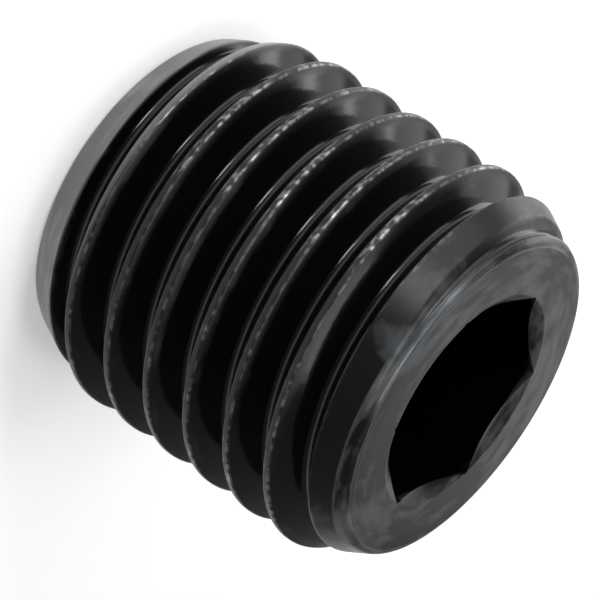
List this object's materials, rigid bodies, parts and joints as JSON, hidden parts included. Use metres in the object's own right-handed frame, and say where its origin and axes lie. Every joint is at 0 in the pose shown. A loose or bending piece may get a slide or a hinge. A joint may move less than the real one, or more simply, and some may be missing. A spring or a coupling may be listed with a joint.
{
  "type": "oil drain plug",
  "caption": "Headless threaded drain plug in black-oxide steel, with a hexagon socket in one end and both ends tapered.",
  "frame": {"origin": "centre of the flat tip, the end away from the socket", "axes": "+Z along the thread's axis from the tip to the socket face; +X through one corner of the hexagon"},
  "size_m": [0.016, 0.016, 0.0158],
  "materials": {
    "black_oxide_steel": "satin black oxide, lightly oiled"
  },
  "bodies": {
    "root": {"plug": "black_oxide_steel"}
  },
  "joints": []
}
